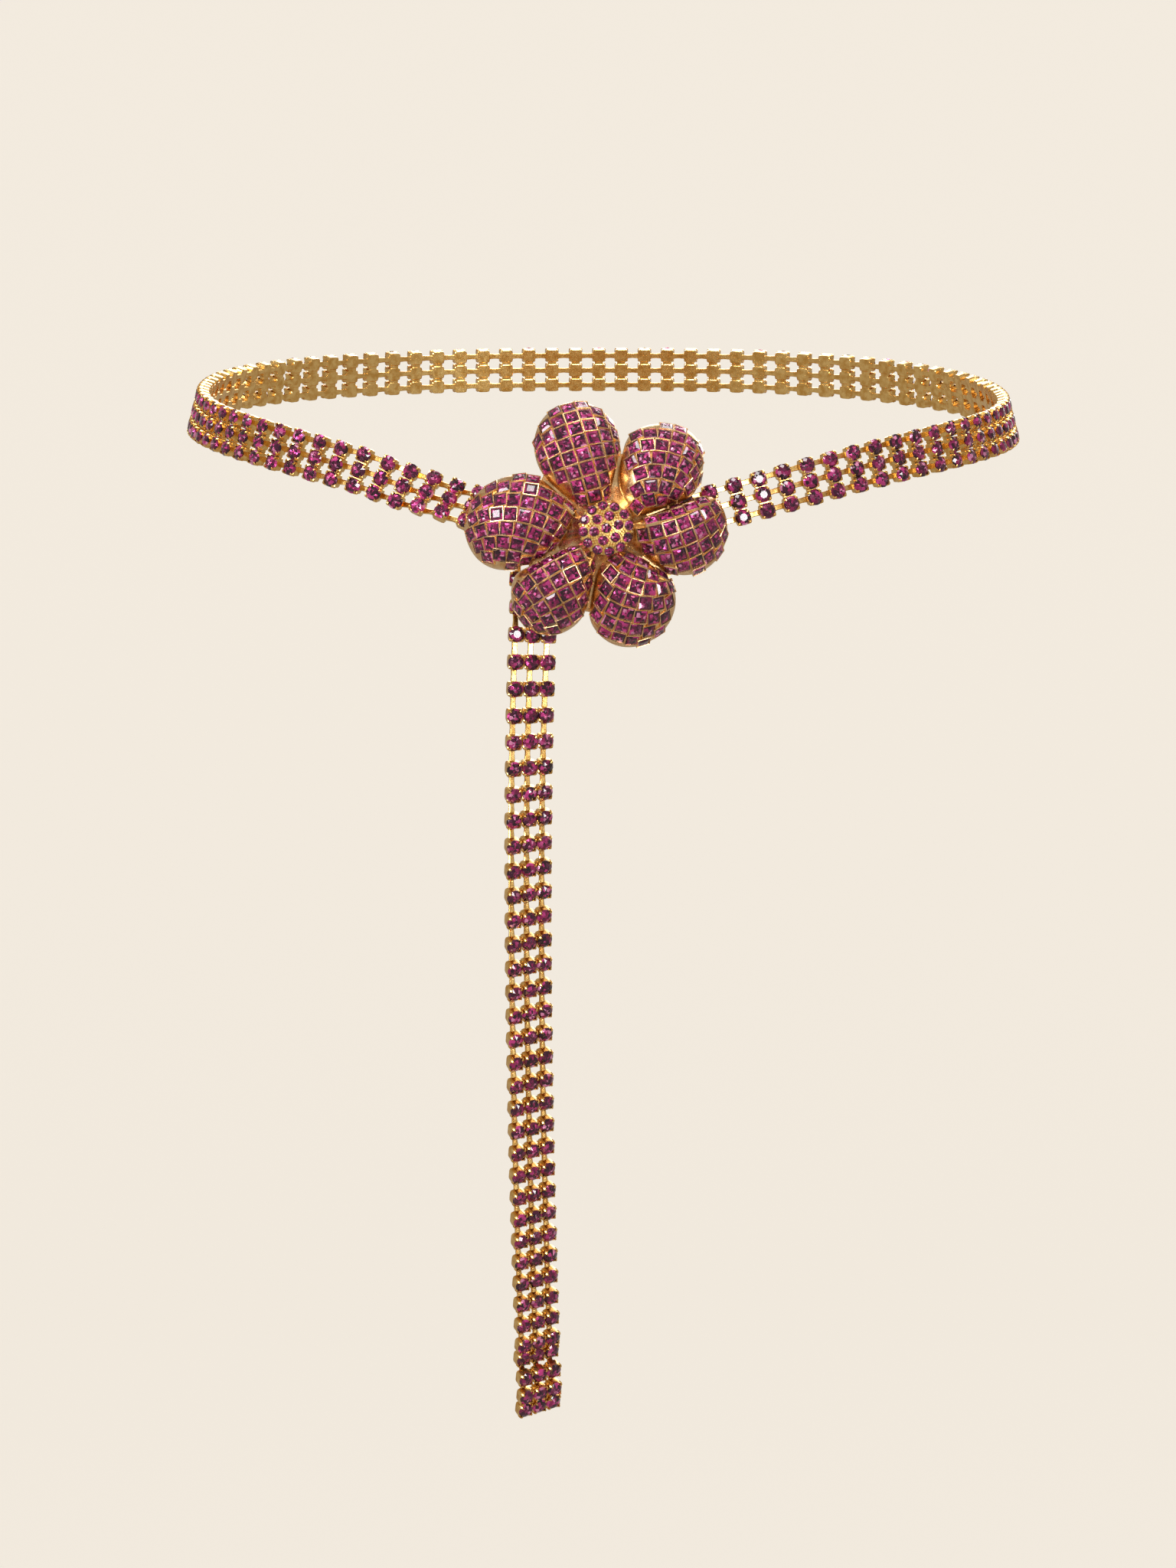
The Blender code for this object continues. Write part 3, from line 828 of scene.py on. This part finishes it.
def add_shell(shape, dome):
    """A petal's gold dome, hollow behind, as a closed skin. Towards its rim it swells to the
    tops of the cells' walls, so that its edge is smooth."""
    rings, sides = 18, 90
    outline = dome.outline[:: len(dome.outline) // sides]
    skins = []
    for inner, outer in ((SHELL_INSET, RIM_INSET), (PETAL_WALL, PETAL_WALL)):
        rows = []
        for k in range(1, rings + 1):
            rise = math.pi / 2 * k / rings
            swell = min(max((math.sin(rise) - SWELL_START) / (1 - SWELL_START), 0.0), 1.0)
            inset = inner + (outer - inner) * swell
            row = []
            for point in outline:
                reach = point - dome.middle
                place = dome.middle + reach * math.sin(rise) * (1 - inset / reach.length)
                height = dome.seat(place) + (PETAL_HEIGHT - inset) * math.cos(rise)
                row.append((place.x, place.y, height))
            rows.append(row)
        top = (*dome.middle, dome.seat(dome.middle) + PETAL_HEIGHT - inner)
        skins.append((top, rows))
    points, faces = [], []
    count = rings * sides
    for skin, (top, rows) in enumerate(skins):
        first = skin * (count + 1)
        points.append(top)
        points += [p for row in rows for p in row]
        made = [(first, first + 1 + i, first + 1 + (i + 1) % sides) for i in range(sides)]
        for r in range(rings - 1):
            for i in range(sides):
                j = (i + 1) % sides
                a, b = first + 1 + r * sides, first + 1 + (r + 1) * sides
                made.append((a + i, b + i, b + j, a + j))
        faces += made if skin == 0 else [tuple(reversed(f)) for f in made]
    outer, inner = count - sides + 1, 2 * count + 2 - sides
    for i in range(sides):
        j = (i + 1) % sides
        faces.append((outer + i, inner + i, inner + j, outer + j))
    shape.add(*facing_out(points, faces))


def in_belt(shape):
    """The same shape, moved from the flower's axes to the belt's."""
    matrix = flower_matrix()
    shape.points = [tuple(matrix @ Vector(p)) for p in shape.points]
    return shape


def build_petal(number, petal, last_border, rows, gold, stone):
    dome = Dome(petal, last_border)
    metal, stones = Shape(), Shape()
    add_shell(metal, dome)
    wall, cut = cell_wall(), square_stone()
    for seat in petal_seats(dome, rows):
        metal.add(seat.place(wall[0]), wall[1])
        tilt = seat.turned(shuffle.uniform(-0.04, 0.04), seat.along)
        tilt = tilt.turned(shuffle.uniform(-0.04, 0.04), tilt.across)
        add_stone(stones, tilt, cut, SQUARE_HALF)
    name = f"petal_{number}"
    in_belt(metal).piece(f"{name}_metal", gold, "gold", [name], math.radians(35))
    in_belt(stones).piece(f"{name}_stones", stone, "pave", [name])


def disc_height(radius):
    """Height of the disc's domed face over the flower's plane."""
    seat = dish_height(STEM_RADIUS + 1 * mm) + PLATE_THICKNESS + 2 * SEAM_GAP + STEM_HEIGHT
    return seat + DISC_RIM + DISC_DOME * math.sqrt(max(1 - (radius / DISC_RADIUS) ** 2, 0.0))


def disc_seat(radius, angle):
    """A frame on the disc's face, whose out way is the face's own."""
    step = 0.05 * mm
    slope = (disc_height(radius + step) - disc_height(max(radius - step, 0))) / (2 * step)
    if radius == 0:
        slope = 0
    outward = Vector((math.cos(angle), math.sin(angle), 0))
    normal = Vector((-outward.x * slope, -outward.y * slope, 1))
    place = outward * radius + Vector((0, 0, disc_height(radius)))
    side = Vector((-outward.y, outward.x, 0))
    return Frame(place, side, normal)


def bead_part():
    """A small round bead."""
    sides, rings = 8, 4
    rises = [math.pi * r / rings for r in range(1, rings)]
    profile = [(BEAD_RADIUS * math.sin(rise), -BEAD_RADIUS * math.cos(rise)) for rise in rises]
    return facing_out(ring_points(profile, sides), tube_faces(len(profile), sides))


def build_disc(gold, stone):
    """The domed disc with its stones and the gold beads between and round them."""
    metal, stones = Shape(), Shape()
    sides, rings = 72, 14
    base = disc_height(DISC_RADIUS) - DISC_RIM
    profile = [(DISC_RADIUS * 0.9, base), (DISC_RADIUS, base + DISC_RIM / 2)]
    for k in range(rings):
        rise = math.pi / 2 * k / rings
        radius = DISC_RADIUS * math.cos(rise)
        profile.append((radius, disc_height(radius)))
    metal.add(*facing_out(ring_points(profile, sides), tube_faces(len(profile), sides)))
    seats = []
    for count, radius in DISC_STONES:
        for k in range(count):
            seats.append(disc_seat(radius, math.tau * (k + 0.25) / count))
    cut = brilliant(DISC_STONE_RADIUS, -1.0 * mm, 0.3 * mm, 0.85 * mm)
    for seat in seats:
        add_stone(stones, seat, cut, DISC_STONE_RADIUS)
    bead = bead_part()
    golden = math.pi * (3 - math.sqrt(5))
    for k in range(BEAD_COUNT):
        radius = DISC_RADIUS * 0.985 * math.sqrt((k + 0.5) / BEAD_COUNT)
        seat = disc_seat(radius, golden * k)
        clear = DISC_STONE_RADIUS + BEAD_RADIUS * 0.3
        if all((seat.origin - s.origin).length > clear for s in seats):
            metal.add(seat.moved(0, 0, BEAD_STANDS).place(bead[0]), bead[1])
    in_belt(metal).piece("flower_disc_metal", gold, "gold", ["flower_disc"], math.radians(40))
    in_belt(stones).piece("flower_disc_stones", stone, "pave", ["flower_disc"])


def build_collar(gold):
    """The gold that slopes from under the disc down between the petals to the plate."""
    sides = 72
    inner = [(radius - COLLAR_WALL, height - COLLAR_WALL) for radius, height in reversed(COLLAR)]
    profile = [*COLLAR, *inner]
    faces = tube_faces(len(profile), sides, loop=True)
    collar = Shape()
    collar.add(*facing_out(ring_points(profile, sides), faces))
    in_belt(collar).piece("flower_collar", gold, "gold", (), math.radians(40))


# Materials


def new_material(name):
    made = bpy.data.materials.new(name)
    made.use_nodes = True
    nodes = made.node_tree.nodes
    links = made.node_tree.links
    return made, nodes, links, nodes["Principled BSDF"]


def fill_ramp(ramp, stops):
    """Moves a new ramp's own two stops to the first two given, and adds the others."""
    for k, (position, colour) in enumerate(stops):
        stop = ramp.elements[k] if k < 2 else ramp.elements.new(position)
        stop.position = position
        stop.color = colour


def gold_material(name, bright, deep, rough, bump, grain):
    """Gold plate with uneven colour and gloss, and a cast, slightly hammered face."""
    made, nodes, links, shader = new_material(name)
    shader.inputs["Metallic"].default_value = 1.0
    place = nodes.new("ShaderNodeTexCoord")
    cast = nodes.new("ShaderNodeTexNoise")
    cast.inputs["Scale"].default_value = grain
    cast.inputs["Detail"].default_value = 4
    fine = nodes.new("ShaderNodeTexNoise")
    fine.inputs["Scale"].default_value = grain * 6
    fine.inputs["Detail"].default_value = 3
    for texture in (cast, fine):
        links.new(place.outputs["Object"], texture.inputs["Vector"])
    colour = nodes.new("ShaderNodeValToRGB")
    fill_ramp(colour.color_ramp, ((0.35, (*deep, 1)), (0.62, (*bright, 1))))
    links.new(cast.outputs["Fac"], colour.inputs["Fac"])
    links.new(colour.outputs["Color"], shader.inputs["Base Color"])
    gloss = nodes.new("ShaderNodeMapRange")
    gloss.inputs["From Min"].default_value = 0.35
    gloss.inputs["From Max"].default_value = 0.65
    gloss.inputs["To Min"].default_value = rough * 0.7
    gloss.inputs["To Max"].default_value = rough * 1.5
    links.new(fine.outputs["Fac"], gloss.inputs["Value"])
    links.new(gloss.outputs["Result"], shader.inputs["Roughness"])
    relief = nodes.new("ShaderNodeBump")
    relief.inputs["Strength"].default_value = bump
    relief.inputs["Distance"].default_value = 0.15 * mm
    links.new(cast.outputs["Fac"], relief.inputs["Height"])
    links.new(relief.outputs["Normal"], shader.inputs["Normal"])
    return made


def stone_material(name, is_square):
    """Purple glass over foil. The cut is split into facets by direction and reach in each
    stone, and each facet has its own shade and throws the light its own way. The facets'
    colours, from near black to bright pink, are painted reflections and glints over the purple."""
    made, nodes, links, shader = new_material(name)
    shader.inputs["Metallic"].default_value = 0.35
    shader.inputs["Roughness"].default_value = 0.16
    shader.inputs["Coat Weight"].default_value = 1.0
    shader.inputs["Coat Roughness"].default_value = 0.02
    shader.inputs["Coat IOR"].default_value = 1.5
    shader.inputs["Specular IOR Level"].default_value = 0.25

    def math_node(kind, a, b=None):
        node = nodes.new("ShaderNodeMath")
        node.operation = kind
        for socket, value in zip(node.inputs, (a, b)):
            if isinstance(value, (int, float)):
                socket.default_value = value
            elif value is not None:
                links.new(value, socket)
        return node.outputs[0]

    def vector_node(kind, *sources):
        node = nodes.new("ShaderNodeVectorMath")
        node.operation = kind
        for socket, source in zip(node.inputs, sources):
            links.new(source, socket)
        return node

    cut = nodes.new("ShaderNodeAttribute")
    cut.attribute_name = "cut"
    parts = nodes.new("ShaderNodeSeparateXYZ")
    links.new(cut.outputs["Vector"], parts.inputs[0])
    x, y, number = parts.outputs
    turn = math_node("DIVIDE", math_node("ARCTAN2", y, x), math.tau)
    if is_square:
        reach = math_node("MAXIMUM", math_node("ABSOLUTE", x), math_node("ABSOLUTE", y))
    else:
        squares = math_node("ADD", math_node("MULTIPLY", x, x), math_node("MULTIPLY", y, y))
        reach = math_node("SQRT", squares)
    ring = math_node("FLOOR", math_node("MULTIPLY", reach, FACET_RINGS))
    skew = math_node("MULTIPLY", ring, 0.5)
    spread = math_node("MULTIPLY", turn, FACET_SECTORS)
    sector = math_node("FLOOR", math_node("ADD", spread, skew))
    key = nodes.new("ShaderNodeCombineXYZ")
    links.new(sector, key.inputs[0])
    links.new(ring, key.inputs[1])
    links.new(math_node("MULTIPLY", number, 7.0), key.inputs[2])
    noise = nodes.new("ShaderNodeTexWhiteNoise")
    noise.noise_dimensions = "3D"
    links.new(key.outputs[0], noise.inputs["Vector"])
    # Painted reflections: each facet's colour, from near black to bright pink, stands in for light
    # inside the stone
    glass_and_glint_ramp = nodes.new("ShaderNodeValToRGB")
    glass_and_glint_ramp.color_ramp.interpolation = "CONSTANT"
    fill_ramp(glass_and_glint_ramp.color_ramp, STONE_COLOUR_AND_PAINTED_GLINTS)
    links.new(noise.outputs["Value"], glass_and_glint_ramp.inputs["Fac"])
    links.new(glass_and_glint_ramp.outputs["Color"], shader.inputs["Base Color"])
    surface = nodes.new("ShaderNodeNewGeometry")
    tip = vector_node("SUBTRACT", noise.outputs["Color"])
    tip.inputs[1].default_value = (0.5, 0.5, 0.5)
    scaled = vector_node("SCALE", tip.outputs[0])
    scaled.inputs["Scale"].default_value = FACET_LEAN
    leaning = vector_node("ADD", surface.outputs["Normal"], scaled.outputs[0])
    unit = vector_node("NORMALIZE", leaning.outputs[0])
    links.new(unit.outputs[0], shader.inputs["Normal"])
    return made


# The stage


def paper_material():
    """Pale paper that glows a little, so that it is as pale from every side."""
    made, _, _, shader = new_material("paper")
    shader.inputs["Base Color"].default_value = PAPER
    shader.inputs["Roughness"].default_value = 0.9
    shader.inputs["Emission Color"].default_value = PAPER_GLOW
    shader.inputs["Emission Strength"].default_value = 1.0
    return made


def build_stage():
    """A pale floor that curves up into a wall all round, wide enough to hold any camera. It
    sends no light to the belt and casts no shadow, and its last face, the lid, is left out."""
    steps, sides = 12, 96
    profile = [(FLOOR_RADIUS, FLOOR_Z)]
    for k in range(1, steps + 1):
        turn = math.pi / 2 * k / steps
        radius = FLOOR_RADIUS + FLOOR_BEND * math.sin(turn)
        profile.append((radius, FLOOR_Z + FLOOR_BEND - FLOOR_BEND * math.cos(turn)))
    profile.append((FLOOR_RADIUS + FLOOR_BEND, WALL_TOP))
    faces = tube_faces(len(profile), sides)[:-1]
    mesh = bpy.data.meshes.new("backdrop")
    mesh.from_pydata(ring_points(profile, sides), [], faces)
    mesh.materials.append(paper_material())
    mesh.shade_smooth()
    backdrop = bpy.data.objects.new("backdrop", mesh)
    backdrop.visible_diffuse = False
    backdrop.visible_glossy = False
    backdrop.visible_shadow = False
    bpy.context.scene.collection.objects.link(backdrop)


def add_light(name, place, width, height, power):
    light = bpy.data.lights.new(name, "AREA")
    light.shape = "RECTANGLE"
    light.size = width
    light.size_y = height
    light.energy = power
    lamp = bpy.data.objects.new(name, light)
    lamp.location = place
    lamp.rotation_euler = (LIGHT_AIM - Vector(place)).to_track_quat("-Z", "Y").to_euler()
    lamp.visible_camera = False
    bpy.context.scene.collection.objects.link(lamp)


def build_light():
    for light in LIGHTS:
        add_light(*light)
    world = bpy.data.worlds.new("studio")
    world.use_nodes = True
    background = world.node_tree.nodes["Background"]
    background.inputs["Color"].default_value = WORLD_COLOUR
    background.inputs["Strength"].default_value = WORLD_STRENGTH
    bpy.context.scene.world = world
    bpy.context.scene.view_settings.view_transform = "Standard"


def build_camera():
    camera = bpy.data.cameras.new("camera")
    camera.sensor_width = SENSOR
    camera.lens = CAMERA_FOCAL_PIXELS * SENSOR / PHOTO_HEIGHT
    camera.clip_end = 20
    view = bpy.data.objects.new("camera", camera)
    view.location = CAMERA_PLACE
    view.rotation_euler = (math.pi / 2 - CAMERA_PITCH, 0, 0)
    bpy.context.scene.collection.objects.link(view)
    bpy.context.scene.camera = view


def main():
    build_camera()
    chain_gold = gold_material(
        "chain gold", (0.95, 0.64, 0.24), (0.73, 0.40, 0.10), rough=0.21, bump=0.25, grain=500
    )
    cast_gold = gold_material(
        "cast gold", (0.95, 0.68, 0.38), (0.74, 0.43, 0.18), rough=0.25, bump=0.55, grain=420
    )
    # The beads' gold is rougher than the cast gold, and its colour is painted lighter so that the beads
    # look brightly lit: a painted highlight
    grain_gold_painted_lighter = gold_material(
        "grain gold painted lighter", (1.0, 0.74, 0.30), (0.86, 0.52, 0.14), rough=0.36, bump=0.4, grain=900
    )
    round_stone = stone_material("round stone", False)
    square_stone_look = stone_material("square stone", True)
    build_chain(chain_gold, round_stone)
    for k, (petal, rows) in enumerate(zip(PETALS, ROWS)):
        build_petal(k + 1, petal, PETALS[k - 1].border, rows, cast_gold, square_stone_look)
    build_disc(grain_gold_painted_lighter, round_stone)
    build_collar(cast_gold)
    for node in ("flower_plate", "flower_stem", "buckle_carrier", "buckle_post"):
        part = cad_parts[node]
        part.data.materials.clear()
        part.data.materials.append(cast_gold)
    build_stage()
    build_light()


main()
